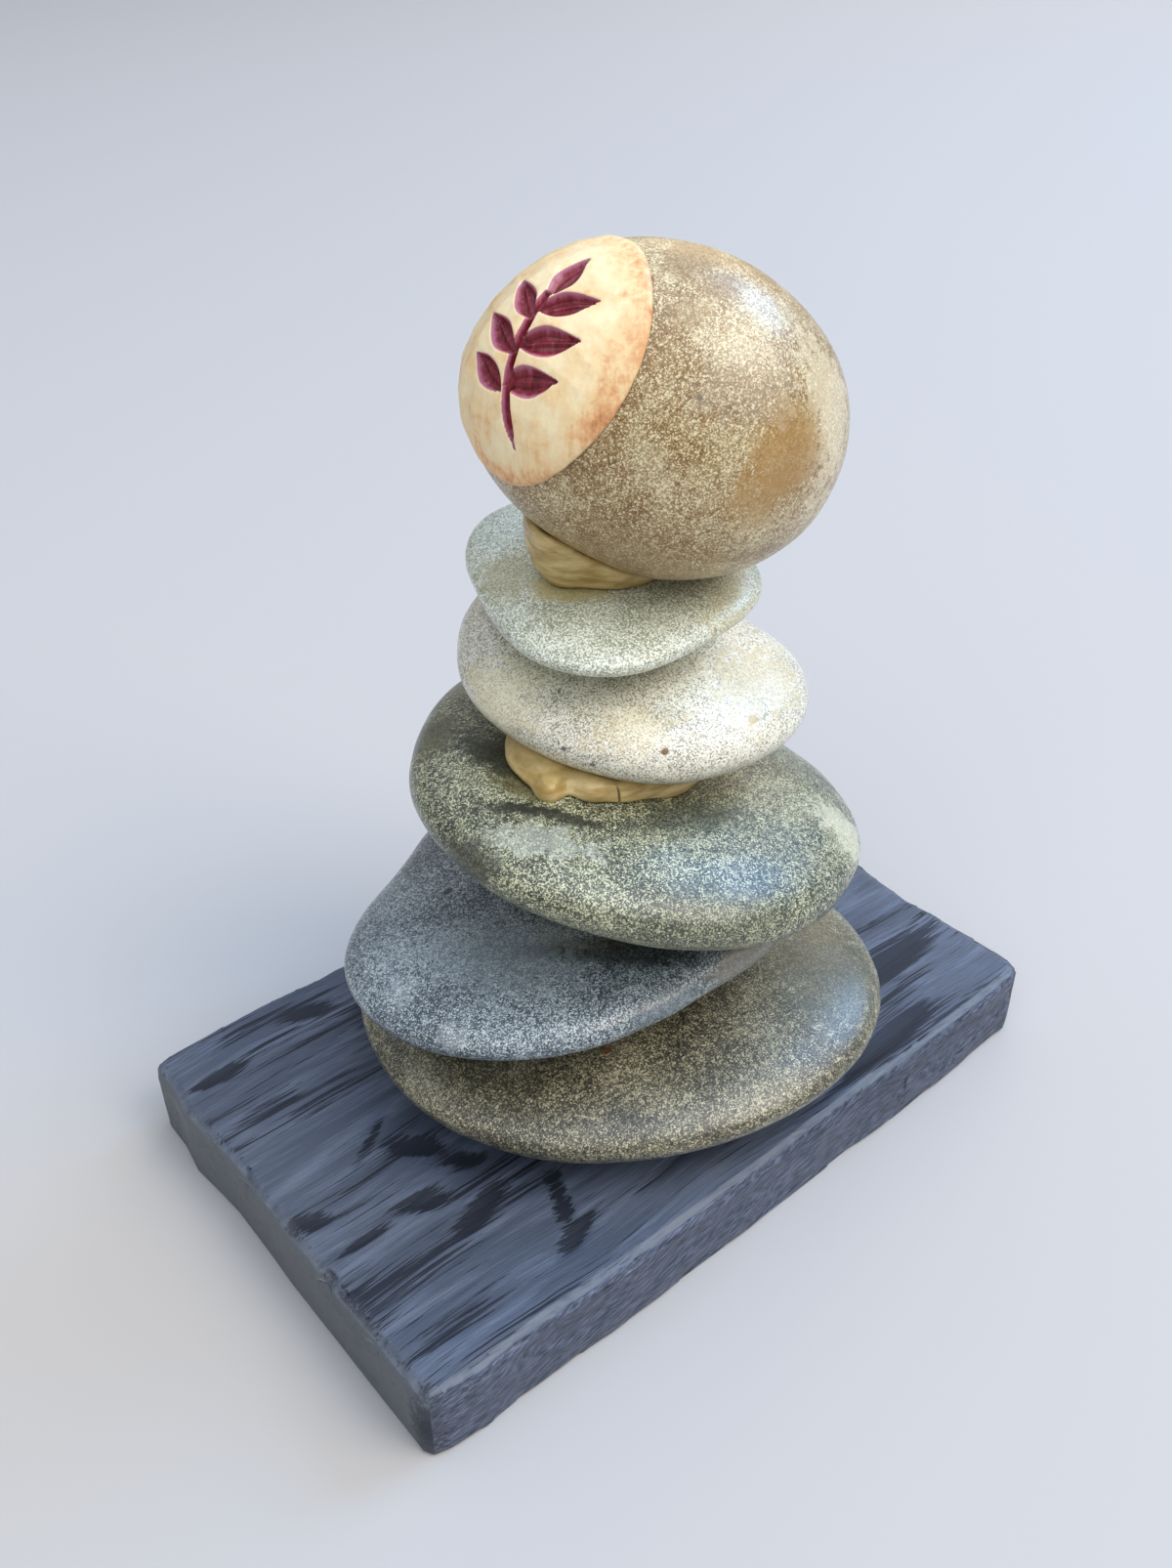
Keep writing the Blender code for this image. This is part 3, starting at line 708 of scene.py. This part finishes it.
def rock_finish(look, settings):
    """Waxed river stone, a fine sandstone worn smooth: salt-and-pepper grains under a soft sheen."""
    material, tree, shader = new_finish(
        look.node + "_waxed_sandstone", IOR=1.5, Coat_Weight=0.9, Coat_Roughness=0.36
    )
    place = add(tree, "TexCoord", give="Object")

    # The tone adds up the chance lightness of each grain, the knots of like grains, the large
    # patches and the rare pale flecks, and is about 0.5 on average.
    grain = add(tree, "TexVoronoi", {"Vector": place, "Scale": 1 / settings.grain}, give="Color")
    chance = add(tree, "SeparateColor", {"Color": grain}, give="Red")
    knots = add(
        tree,
        "TexNoise",
        {"Vector": place, "Scale": 1 / (look.cluster * MM), "Detail": 6, "Roughness": 0.8},
        give="Fac",
    )
    clouds = add(
        tree,
        "TexNoise",
        {
            "Vector": place,
            "Scale": 1 / (CLOUD_SIZE * MM),
            "Detail": 4,
            "Roughness": 0.55,
            "Distortion": 0.6,
        },
        give="Fac",
    )
    skewed = add(tree, "Math", {0: chance, 1: look.skew}, operation="POWER")
    mean = 1 / (1 + look.skew)
    grains = add(
        tree,
        "MapRange",
        {"Value": skewed, "To Min": -look.contrast * mean, "To Max": look.contrast * (1 - mean)},
    )
    knotted = add(tree, "Math", {0: knots, 1: look.knotting, 2: grains}, **SCALED_ONTO)
    clouded = add(tree, "Math", {0: clouds, 1: look.clouding, 2: knotted}, **SCALED_ONTO)
    spots = add(tree, "TexVoronoi", {"Vector": place, "Scale": 1 / (look.fleck * MM)})
    near = add(tree, "MapRange", {"Value": spots, "From Min": 0.42, "From Max": 0.2}, **EASED)
    draw = add(tree, "SeparateColor", {"Color": spots.node.outputs["Color"]}, give="Green")
    rare = add(tree, "Math", {0: draw, 1: 1 - look.fleck_share}, operation="GREATER_THAN")
    flecks = add(tree, "Math", {0: near, 1: rare}, operation="MULTIPLY")
    flecked = add(tree, "Math", {0: flecks, 1: FLECK_LIFT, 2: clouded}, **SCALED_ONTO)
    balance = (1 - look.knotting - look.clouding) / 2
    tone = add(tree, "Math", {0: flecked, 1: balance}, operation="ADD")

    # The body's colour sinks to the dark grains' and lifts to the light grains' with the tone.
    mass = add(
        tree,
        "MapRange",
        {"Value": clouds, "From Min": 0.4, "From Max": 0.65, "To Max": look.cloud_share},
        **EASED,
    )
    sink = add(tree, "MapRange", {"Value": tone, "From Min": 0.5, "From Max": 0.15})
    lift = add(tree, "MapRange", {"Value": tone, "From Min": 0.5, "From Max": 0.9})
    colour = settings.body
    for share, leaned_to in ((mass, settings.cloud), (sink, settings.dark), (lift, settings.light)):
        colour = add(tree, "Mix", {MIX_FACTOR: share, MIX_A: colour, MIX_B: leaned_to}, **COLOURS_MIXED)
    ragged = add(
        tree,
        "TexNoise",
        {"Vector": place, "Scale": 1 / (STAIN_EDGE_SIZE * MM), "Detail": 6, "Roughness": 0.72},
        give="Fac",
    )
    # Stains, veins and specks, and the patches of painted shade and painted light in the table.
    for mark in look.marks:
        colour = spotted(tree, place, ragged, colour, mark)

    # Light grains take a little more polish than dark ones.
    gloss = add(
        tree, "MapRange", {"Value": tone, "To Min": look.roughness + 0.12, "To Max": look.roughness - 0.08}
    )
    relief = add(tree, "Bump", {"Height": tone, "Strength": 0.5, "Distance": GRAIN_RELIEF * MM})
    feed(tree, shader, Base_Color=colour, Roughness=gloss, Normal=relief)
    return material


def streaks(tree, place, size, detail=3, turn=0):
    """Noise drawn out in streaks of a length and a width, along the board or turned up from it."""
    length, width = size
    drawn = add(
        tree,
        "Mapping",
        {
            "Vector": place,
            "Rotation": (0, math.radians(-turn), 0),
            "Scale": (length * MM, width * MM, width * MM),
        },
        vector_type="TEXTURE",
    )
    return add(
        tree, "TexNoise", {"Vector": drawn, "Scale": 1.0, "Detail": detail, "Roughness": 0.6}, give="Fac"
    )


def paint_finish(settings):
    """Satin paint dry-brushed over a dark ground coat on raised softwood grain: streaks along the
    board that show the dark coat, scratched sides and pale rims, which are paint worn thin and a
    painted highlight."""
    material, tree, shader = new_finish("dry_brushed_satin_paint", IOR=1.5)
    cut, end, worn, side = (
        add(tree, "Attribute", attribute_name=name, give="Fac") for name in BOARD_LAYERS
    )

    # The streaks sway a little, as the grain does.
    flat = add(tree, "TexCoord", give="Object")
    drift = add(
        tree, "TexNoise", {"Vector": flat, "Scale": 1 / (SWAY_LENGTH * MM), "Detail": 1}, give="Fac"
    )
    sway = add(tree, "MapRange", {"Value": drift, "To Min": -PAINT_SWAY * MM, "To Max": PAINT_SWAY * MM})
    aside = add(tree, "CombineXYZ", {"Y": sway})
    place = add(tree, "VectorMath", {0: flat, 1: aside}, operation="ADD")
    broad = streaks(tree, place, BROAD_GRAIN)
    fine = streaks(tree, place, FINE_GRAIN)
    regions = streaks(tree, place, GRAIN_REGIONS, detail=1)
    strokes = streaks(tree, place, BRUSH_STROKES, detail=5)
    scratches = streaks(tree, place, SCUFFS, detail=4, turn=SCUFF_TURN)

    # Where the brush missed the grain's hollows and the cuts, the ground coat is bare.
    lines = add(tree, "Math", {0: fine, 1: 1.1, 2: broad}, **SCALED_ONTO)
    spread = add(tree, "Math", {0: regions, 1: 0.8, 2: lines}, **SCALED_ONTO)
    kept = add(tree, "Math", {0: side, 1: -0.1, 2: spread}, **SCALED_ONTO)
    opened = add(tree, "Math", {0: cut, 1: 0.5, 2: kept}, **SCALED_ONTO)
    bare = add(tree, "MapRange", {"Value": opened, "From Min": 1.55, "From Max": 1.68}, **EASED)
    bristled = add(tree, "Math", {0: fine, 1: 0.6, 2: strokes}, **SCALED_ONTO)
    brushed = add(tree, "MapRange", {"Value": bristled, "From Min": 0.68, "From Max": 1.0}, **EASED)
    hatched = add(
        tree,
        "ValToRGB",
        {"Fac": scratches},
        stops=((0.36, settings.ground), (0.5, settings.paint), (0.64, settings.scuffed)),
    )
    scuffing = add(tree, "Math", {0: side, 1: SCUFF_STRENGTH}, operation="MULTIPLY")
    colour = settings.paint
    for share, laid_over in (
        (brushed, settings.pale),
        (bare, settings.ground),
        (scuffing, hatched),
        # The pale front rim: paint worn thin, and a painted highlight.
        (worn, settings.highlit_and_rubbed),
        (end, settings.end),
    ):
        colour = add(tree, "Mix", {MIX_FACTOR: share, MIX_A: colour, MIX_B: laid_over}, **COLOURS_MIXED)
    gloss = add(tree, "MapRange", {"Value": bare, "To Min": 0.46, "To Max": 0.58})
    sunk = add(tree, "Math", {0: bare, 1: -0.7, 2: lines}, **SCALED_ONTO)
    relief = add(tree, "Bump", {"Height": sunk, "Strength": 0.6, "Distance": PAINT_RELIEF * MM})
    feed(tree, shader, Base_Color=colour, Roughness=gloss, Normal=relief)
    return material


def putty_finish(settings):
    """Set epoxy putty, pressed and wiped by hand: dense, satin and faintly waxy."""
    material, tree, shader = new_finish(
        "epoxy_putty",
        IOR=1.5,
        Roughness=0.27,
        Subsurface_Weight=0.08,
        Subsurface_Radius=(1.0, 0.6, 0.3),
        Subsurface_Scale=0.6 * MM,
    )
    place = add(tree, "TexCoord", give="Object")
    wiped = add(tree, "Mapping", {"Vector": place, "Scale": [1 / (part * MM) for part in SMEAR_SIZE]})
    smear = add(
        tree, "TexNoise", {"Vector": wiped, "Scale": 1.0, "Detail": 4, "Roughness": 0.55}, give="Fac"
    )
    colour = add(tree, "ValToRGB", {"Fac": smear}, stops=((0.35, settings.worked), (0.6, settings.putty)))
    for mark in GLUE_MARKS:
        colour = spotted(tree, place, smear, colour, mark)
    relief = add(tree, "Bump", {"Height": smear, "Strength": 0.3, "Distance": SMEAR_RELIEF * MM})
    feed(tree, shader, Base_Color=colour, Normal=relief)
    return material


def clay_finish(settings):
    """Baked clay with a washed paint, the carving filled with a darker one: warm, satin, mottled.
    The carving is painted darker to its bottom and lighter on its walls, as painted shade and
    highlight, and a painted shadow line runs along the joint with the stone.
    """
    material, tree, shader = new_finish("washed_baked_clay", IOR=1.5)
    carve, edge, seam = (add(tree, "Attribute", attribute_name=name, give="Fac") for name in PLAQUE_LAYERS)
    place = add(tree, "TexCoord", give="Object")
    wash = add(
        tree,
        "TexNoise",
        {"Vector": place, "Scale": 1 / (WASH_SIZE * MM), "Detail": 7, "Roughness": 0.7},
        give="Fac",
    )
    brushed = add(
        tree,
        "Mapping",
        {
            "Vector": place,
            "Rotation": CLAY_STROKE_TURNS,
            "Scale": [1 / (part * MM) for part in CLAY_STROKE_SIZE],
        },
    )
    strokes = add(
        tree, "TexNoise", {"Vector": brushed, "Scale": 1.0, "Detail": 4, "Roughness": 0.65}, give="Fac"
    )

    # The wash is heavier towards the rim. The carving's paint is painted darker towards its bottom,
    # a painted shade, and mauve on its shallow walls, a painted highlight.
    rim = add(tree, "MapRange", {"Value": edge, "From Min": 0.7, "From Max": 1.0, "To Max": 0.22})
    washed = add(tree, "Math", {0: strokes, 1: 0.35, 2: wash}, **SCALED_ONTO)
    laid = add(tree, "Math", {0: washed, 1: rim}, operation="ADD")
    ground = add(
        tree,
        "ValToRGB",
        {"Fac": laid},
        stops=(
            (0.58, settings.ground),
            (0.78, settings.ochre),
            (0.9, settings.blush),
            (1.0, settings.burnt),
        ),
    )
    patchy = add(
        tree,
        "MapRange",
        {"Value": strokes, "From Min": 0.35, "From Max": 0.65, "To Min": 0.45, "To Max": 1.1},
    )
    filled = add(tree, "Math", {0: carve, 1: patchy}, operation="MULTIPLY")
    # Painted shade and highlight: the carving's paint goes from mauve on its shallow walls to deep wine at
    # its bottom.
    shaded_carving_paint = add(
        tree,
        "ValToRGB",
        {"Fac": filled},
        stops=((0.1, settings.mauve_highlight), (0.5, settings.wine), (1.0, settings.deep)),
    )
    painted = add(tree, "MapRange", {"Value": carve, "From Min": 0.02, "From Max": 0.12}, **EASED)
    colour = ground
    # The carving's paint, and the painted shadow line at the clay's joint with the stone.
    for share, laid_over in ((painted, shaded_carving_paint), (seam, settings.seam)):
        colour = add(tree, "Mix", {MIX_FACTOR: share, MIX_A: colour, MIX_B: laid_over}, **COLOURS_MIXED)
    gloss = add(tree, "MapRange", {"Value": carve, "From Max": 0.5, "To Min": 0.42, "To Max": 0.24})
    relief = add(tree, "Bump", {"Height": wash, "Strength": 0.35, "Distance": WASH_RELIEF * MM})
    feed(tree, shader, Base_Color=colour, Roughness=gloss, Normal=relief)
    return material


def card_finish(settings):
    """Matt card: pale and even."""
    material, _, _ = new_finish(
        "pale_card", Roughness=0.8, Specular_IOR_Level=0.2, Base_Color=settings.floor
    )
    return material


# ---- pieces ----


def build_stone(look, settings):
    """A worn stone in place of its node: smoothed, then raised in long waves, ripples and dents."""
    maker = rounded_copy(look.node)
    swell = settings.swell / MM
    seed = Vector((len(look.node) * SEED_STEP, 0, 0))
    for vert in maker.verts:
        place = vert.co / MM
        rise = noise.noise(place / SWELL_LENGTH + seed) * swell
        rise += noise.noise(place / RIPPLE_LENGTH - seed) * swell * RIPPLE_SHARE
        rise -= hollowed(place, look.dents)
        if look.node == "top_stone":
            rise -= PLAQUE_BED * plaque_cover(vert.co)
        vert.co += vert.normal * rise * MM
    piece = add_piece(look.node + "_worn", maker, rock_finish(look, settings))
    dress(piece, look.node)


def slice_across(maker, faces, axis, low, high, step):
    """Cut faces into slices no wider than a step along one axis, by halving them again and again."""
    if high - low <= step or not faces:
        return
    middle = (low + high) / 2
    edges = {edge for face in faces for edge in face.edges}
    verts = {vert for edge in edges for vert in edge.verts}
    facing = Vector([1 if side == axis else 0 for side in range(3)])
    cut = bmesh.ops.bisect_plane(
        maker, geom=[*verts, *edges, *faces], dist=MERGE_DISTANCE, plane_co=facing * middle, plane_no=facing
    )
    pieces = [item for item in cut["geom"] if isinstance(item, bmesh.types.BMFace)]
    below = [face for face in pieces if face.calc_center_median()[axis] < middle]
    above = [face for face in pieces if face.calc_center_median()[axis] > middle]
    slice_across(maker, below, axis, low, middle, step)
    slice_across(maker, above, axis, middle, high, step)


def board_wear(place, facing, from_ends, wander, cut):
    """How far a place of the board's skin is cut, part of an end, pale on the front rim, where
    the paint is worn thin and a highlight is painted, and part of a long side.
    """
    facet = nearness(place, CORNER_FACET)
    over_end = END_STRENGTH * ramp_up(*END_PAINT, from_ends + END_WANDER * wander)
    end = max(ramp_up(0.3, 0.85, abs(facing.x)), over_end)
    # The front rim's chamfer is painted pale: partly paint worn thin, partly a painted highlight of the
    # sky.
    front_rim = ramp_up(0.2, 0.4, -facing.y) * ramp_up(0.65, 0.85, facing.z)
    sheen_and_rubbing = noise.noise(Vector((place.x / SHEEN_AND_RUB_LENGTH, 7, 0))) + 0.4 * noise.noise(place / 3)
    worn = front_rim * (SHEEN_AND_RUB_LEAST + (1 - SHEEN_AND_RUB_LEAST) * ramp_up(-0.4, 0.1, sheen_and_rubbing))
    return max(cut / CUT_DEPTH, facet), end * (1 - facet), worn, ramp_up(0.4, 0.8, abs(facing.y))


def board_move(place, facing, inside, wander, cut, groove):
    """How far a place is off the sawn board's shape, in millimetres, through grooves and cuts in the
    top, hollows in the sides, chips, the rim's wear and the long front side's bulge."""
    top = ramp_up(0.5, 0.9, facing.z)
    depth = top * (ramp_up(0.0, 0.5, lumps(place, RAISED_GRAIN)) * groove + cut)
    planed = SCALLOP_DEPTH * (1 - END_SMOOTHNESS * ramp_up(0.5, 0.9, abs(facing.x)))
    depth += (1 - top) * planed * ramp_up(-0.3, 0.5, lumps(place, SCALLOP_SIZE))
    depth += hollowed(place, BOARD_CHIPS)
    rim = ramp_up(*RIM_WEAR, inside + RIM_WANDER * wander) * ramp_up(*RIM_ROWS, place.z)
    lowered = UP * rim * top * RIM_DROP * (0.5 + wander)
    swelled = FRONT_SWELL * ease(1 - abs(place.x - FRONT_SWELL_AT) / FRONT_SWELL_REACH)
    outward = Vector((0, -swelled * ramp_up(*FRONT_SWELL_ROWS, place.y), 0))
    return outward - (facing * depth + lowered if place.z > FOOT_HEIGHT else Vector())


def build_board(settings):
    """The board with its grain raised, its rims worn and its old cuts."""
    maker = merged_copy("wood_base")
    low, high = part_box("wood_base")
    bmesh.ops.dissolve_limit(
        maker,
        angle_limit=math.radians(0.5),
        verts=maker.verts,
        edges=maker.edges,
        use_dissolve_boundaries=False,
    )
    underside = [face for face in maker.faces if face.calc_center_median().z < MERGE_DISTANCE]
    bmesh.ops.delete(maker, geom=underside, context="FACES")
    for axis, step in enumerate(BOARD_SLICE):
        slice_across(maker, maker.faces[:], axis, low[axis], high[axis], step * MM)
    maker.normal_update()
    layers = [maker.verts.layers.float.new(name) for name in BOARD_LAYERS]
    reach = (high - low) / MM / 2
    middle = (high + low) / MM / 2
    for vert in maker.verts:
        place, facing = vert.co / MM, vert.normal
        from_ends = reach.x - abs(place.x - middle.x)
        inside = min(from_ends, reach.y - abs(place.y - middle.y))
        level = Vector((place.x / WANDER_LENGTH, place.y / WANDER_LENGTH, 3))
        wander = noise.noise(level) + 0.5 * noise.noise(place / 4)
        cut = max(slot.depth * nearness(place, slot) for slot in BOARD_CUTS)
        for layer, share in zip(layers, board_wear(place, facing, from_ends, wander, cut)):
            vert[layer] = share
        vert.co += board_move(place, facing, inside, wander, cut, settings.groove / MM) * MM
    opening = [edge for edge in maker.edges if edge.is_boundary]
    bmesh.ops.contextual_create(maker, geom=opening)
    piece = add_piece("painted_board", maker, paint_finish(settings))
    piece.data.set_sharp_from_angle(angle=math.radians(50))
    dress(piece, "wood_base")


def build_glue(node, material):
    """One pad of putty, swelled until it meets the stones above and below."""
    maker = rounded_copy(node)
    for vert in maker.verts:
        place = vert.co / MM
        rise = GLUE_SWELL + GLUE_WAVE * noise.noise(place / GLUE_WAVE_LENGTH)
        rise += GLUE_FOLD * lumps(place, GLUE_FOLD_SIZE)
        rise -= hollowed(place, GLUE_LUMPS)
        vert.co += vert.normal * rise * MM
    dress(add_piece(node + "_putty", maker, material), node)


# ---- the plaque ----


def plaque_frame():
    """The plaque's frame: X to the right of one who looks at it, Y up its face, Z out of it."""
    outward = heading(*PLAQUE_FACES)
    right = UP.cross(outward).normalized()
    placing = Matrix((right, outward.cross(right), outward)).transposed().to_4x4()
    placing.translation = (Vector(STONE_MIDDLE) + right * PLAQUE_SHIFT) * MM
    return placing


def plaque_reach(x, y):
    """How far out the plaque's edge lies in a direction of its face, as a part of the full ellipse."""
    apart = abs(math.degrees(math.atan2(y, x)) - PLAQUE_TRIM_ANGLE)
    return 1 - PLAQUE_TRIM * ease(1 - apart / PLAQUE_TRIM_SPREAD)


def plaque_cover(spot):
    """1 well under the plaque and 0 beside it."""
    inside = plaque_frame().inverted() @ spot / MM
    half_width, half_height = PLAQUE_HALF_SIZE
    x, y = inside.x / half_width, inside.y / half_height
    return ramp_up(*PLAQUE_BED_RIM, math.hypot(x, y) / plaque_reach(x, y)) if inside.z > 0 else 0.0


def leaf_depth(place, leaf):
    """How deep a leaf is carved at a place of the face, from 0 to 1."""
    foot, tip = Vector(leaf.foot), Vector(leaf.tip)
    length = (tip - foot).length
    along = (place - foot).dot(tip - foot) / length
    across = abs((place - foot).cross(tip - foot)) / length
    share = along / length
    if not 0 < share < 1:
        return 0.0
    half = leaf.width / 2 * math.sin(math.pi * share**LEAF_FULLNESS)
    wall = ramp_up(half, half - LEAF_WALL * half, across)
    return wall * (1 - LEAF_RIB * ramp_up(*LEAF_RIB_SIDES, across))


def carving(place):
    """How deep the sprig is carved at a place of the face, from 0 to 1."""
    foot, top = STEM_ENDS
    aside = abs(place.x - STEM_AT + STEM_BEND * min(0.0, place.y) * abs(place.y))
    taper = STEM_HALF_WIDTH * ramp_up(*STEM_TAPER, place.y)
    stem = ramp_up(taper, taper * STEM_FLOOR, aside) if foot < place.y < top and taper else 0.0
    return max(stem, *(leaf_depth(place, leaf) for leaf in LEAVES))


def plaque_section():
    """Half of the plaque's section, from the middle of the back round the rim to the middle of the
    face: the part of the way out, and the height above the stone."""
    half_round = (PLAQUE_FACE - PLAQUE_BACK) / 2
    quarter = PLAQUE_ROUNDING_STEPS
    section = [(share / PLAQUE_BACK_ROWS, PLAQUE_BACK) for share in range(PLAQUE_BACK_ROWS)]
    for step in range(-quarter, quarter):
        turn = step * math.pi / (2 * quarter)
        section.append(
            (1 - PLAQUE_LIP * (1 - math.cos(turn)), PLAQUE_BACK + half_round * (1 + math.sin(turn)))
        )
    section += [
        ((1 - PLAQUE_LIP) * share / PLAQUE_ROWS, PLAQUE_FACE) for share in range(PLAQUE_ROWS, -1, -1)
    ]
    return section


def build_plaque(settings):
    """The plaque: its section spun round and laid on the stone, then carved."""
    placing = plaque_frame()
    outward = placing.col[2].to_3d()
    stone = merged_copy("top_stone")
    target = BVHTree.FromBMesh(stone)
    stone.free()
    maker = bmesh.new()
    carve, edge, seam = (maker.verts.layers.float.new(name) for name in PLAQUE_LAYERS)
    section = [maker.verts.new((share, 0, rise)) for share, rise in plaque_section()]
    joined = [maker.edges.new(pair) for pair in zip(section, section[1:])]
    bmesh.ops.spin(
        maker,
        geom=section + joined,
        cent=(0, 0, 0),
        axis=UP,
        angle=2 * math.pi,
        steps=PLAQUE_STEPS,
        use_merge=True,
    )
    bmesh.ops.remove_doubles(maker, verts=maker.verts, dist=MERGE_DISTANCE)
    half_width, half_height = PLAQUE_HALF_SIZE
    middle = Vector(STONE_MIDDLE) * MM
    for vert in maker.verts:
        x, y, height = vert.co
        flat = Vector((x * half_width, y * half_height)) * plaque_reach(x, y)
        spot = placing @ (Vector((flat.x, flat.y, 0)) * MM + UP)
        found = target.ray_cast(spot, -outward)[0]
        cut = carving(flat) if height > PLAQUE_FACE - FACE_SLACK else 0.0
        vert[carve] = cut
        vert[edge] = math.hypot(x, y) - WASH_LEAN * (1 - x) / 2
        # The painted shadow line along the clay's lowest edge, at the joint.
        vert[seam] = ramp_up(*JOINT_SHADOW_ROWS, height)
        lifted = height - cut * settings.depth / MM
        vert.co = found + (found - middle).normalized() * lifted * MM
    bmesh.ops.recalc_face_normals(maker, faces=maker.faces)
    dress(add_piece("carved_plaque", maker, clay_finish(settings)), "clay_plaque")


# ---- the stage ----


def build_floor(settings):
    """A plain floor under the board."""
    maker = bmesh.new()
    bmesh.ops.create_grid(maker, x_segments=1, y_segments=1, size=FLOOR_SIZE / 2)
    bmesh.ops.translate(maker, verts=maker.verts, vec=-UP * FLOOR_DROP * MM)
    add_piece("floor", maker, card_finish(settings))


def build_lights(settings):
    """Soft light from all round, brighter from above, the soft lamps, and a pale backdrop that only
    the camera sees."""
    world = bpy.data.worlds.new("studio")
    bpy.context.scene.world = world
    world.use_nodes = True
    tree = world.node_tree
    background = tree.nodes["Background"]
    background.inputs["Strength"].default_value = settings.strength
    towards = add(tree, "TexCoord", give="Generated")
    height = add(tree, "SeparateXYZ", {"Vector": towards}, give="Z")
    colour = add(tree, "ValToRGB", {"Fac": height}, stops=((0.15, settings.wall), (0.6, settings.sky)))
    seen = add(tree, "LightPath", give="Is Camera Ray")
    shown = add(tree, "Mix", {MIX_FACTOR: seen, MIX_A: colour, MIX_B: settings.backdrop}, **COLOURS_MIXED)
    tree.links.new(shown, background.inputs["Color"])
    for lamp in LAMPS:
        light = bpy.data.lights.new(lamp.name, "AREA")
        light.shape = "SQUARE"
        light.size = lamp.side
        light.energy = lamp.power
        light.color = linear(lamp.colour)[:3]
        holder = bpy.data.objects.new(lamp.name, light)
        away = heading(lamp.direction, lamp.rise)
        holder.location = Vector(LAMP_AIM) * MM + away * LAMP_DISTANCE
        holder.rotation_euler = away.to_track_quat("Z", "Y").to_euler()
        bpy.context.scene.collection.objects.link(holder)


def build_camera():
    """The camera, a little above the cairn and turned down to it."""
    camera = bpy.data.objects.new("camera", bpy.data.cameras.new("camera"))
    camera.data.lens = CAMERA_LENS
    camera.data.clip_start = CAMERA_CLIP * MM
    looks = (Vector(CAMERA_AIM) - Vector(CAMERA_AT)).normalized()
    roll = Matrix.Rotation(math.radians(CAMERA_ROLL), 3, "Z")
    turned = looks.to_track_quat("-Z", "Y").to_matrix() @ roll
    camera.matrix_world = Matrix.Translation(Vector(CAMERA_AT) * MM) @ turned.to_4x4()
    bpy.context.scene.collection.objects.link(camera)
    bpy.context.scene.camera = camera


# ---- the add-on ----


class CAIRN_OT_stage(bpy.types.Operator):
    """Set up the floor, the lights and the camera"""

    bl_idname = "cairn.stage"
    bl_label = "Set Stage"

    def execute(self, context):
        settings = context.scene.cairn_stage
        context.scene.view_settings.view_transform = "Standard"
        context.scene.view_settings.look = "Medium High Contrast"
        build_floor(settings)
        build_lights(settings)
        build_camera()
        return {"FINISHED"}


class CAIRN_OT_board(bpy.types.Operator):
    """Build the painted board"""

    bl_idname = "cairn.board"
    bl_label = "Build Board"

    def execute(self, context):
        build_board(context.scene.cairn_board)
        return {"FINISHED"}


class CAIRN_OT_stones(bpy.types.Operator):
    """Build the six stones"""

    bl_idname = "cairn.stones"
    bl_label = "Build Stones"

    def execute(self, context):
        for look in STONE_LOOKS:
            build_stone(look, getattr(context.scene, "cairn_" + look.node))
        return {"FINISHED"}


class CAIRN_OT_glue(bpy.types.Operator):
    """Build the pads of putty between the stones"""

    bl_idname = "cairn.glue"
    bl_label = "Build Glue"

    def execute(self, context):
        material = putty_finish(context.scene.cairn_glue)
        for node in GLUE_NODES:
            build_glue(node, material)
        return {"FINISHED"}


class CAIRN_OT_plaque(bpy.types.Operator):
    """Build the carved plaque"""

    bl_idname = "cairn.plaque"
    bl_label = "Build Plaque"

    def execute(self, context):
        build_plaque(context.scene.cairn_plaque)
        return {"FINISHED"}


OPERATORS = (CAIRN_OT_stage, CAIRN_OT_board, CAIRN_OT_stones, CAIRN_OT_glue, CAIRN_OT_plaque)
GROUPS = {
    "cairn_stage": CAIRN_PG_stage,
    "cairn_board": CAIRN_PG_board,
    "cairn_glue": CAIRN_PG_glue,
    "cairn_plaque": CAIRN_PG_plaque,
    **{"cairn_" + look.node: stone_settings(look) for look in STONE_LOOKS},
}


class CAIRN_PT_panel(bpy.types.Panel):
    """The cairn's operators and settings"""

    bl_idname = "CAIRN_PT_panel"
    bl_label = "Cairn"
    bl_space_type = "VIEW_3D"
    bl_region_type = "UI"
    bl_category = "Cairn"

    def draw(self, context):
        for operator in OPERATORS:
            self.layout.operator(operator.bl_idname)
        for name, group in GROUPS.items():
            box = self.layout.box()
            box.label(text=name.replace("cairn_", "").replace("_", " ").title())
            for setting in group.__annotations__:
                box.prop(getattr(context.scene, name), setting)


def register():
    """Register the settings, the operators and the panel."""
    for name, group in GROUPS.items():
        bpy.utils.register_class(group)
        setattr(bpy.types.Scene, name, PointerProperty(type=group))
    for thing in (*OPERATORS, CAIRN_PT_panel):
        bpy.utils.register_class(thing)


def unregister():
    """Take all of it away again."""
    for thing in (*OPERATORS, CAIRN_PT_panel):
        bpy.utils.unregister_class(thing)
    for name, group in GROUPS.items():
        delattr(bpy.types.Scene, name)
        bpy.utils.unregister_class(group)


def main():
    """Build everything in order."""
    register()
    bpy.ops.cairn.stage()
    bpy.ops.cairn.board()
    bpy.ops.cairn.stones()
    bpy.ops.cairn.glue()
    bpy.ops.cairn.plaque()


if __name__ == "__main__":
    main()
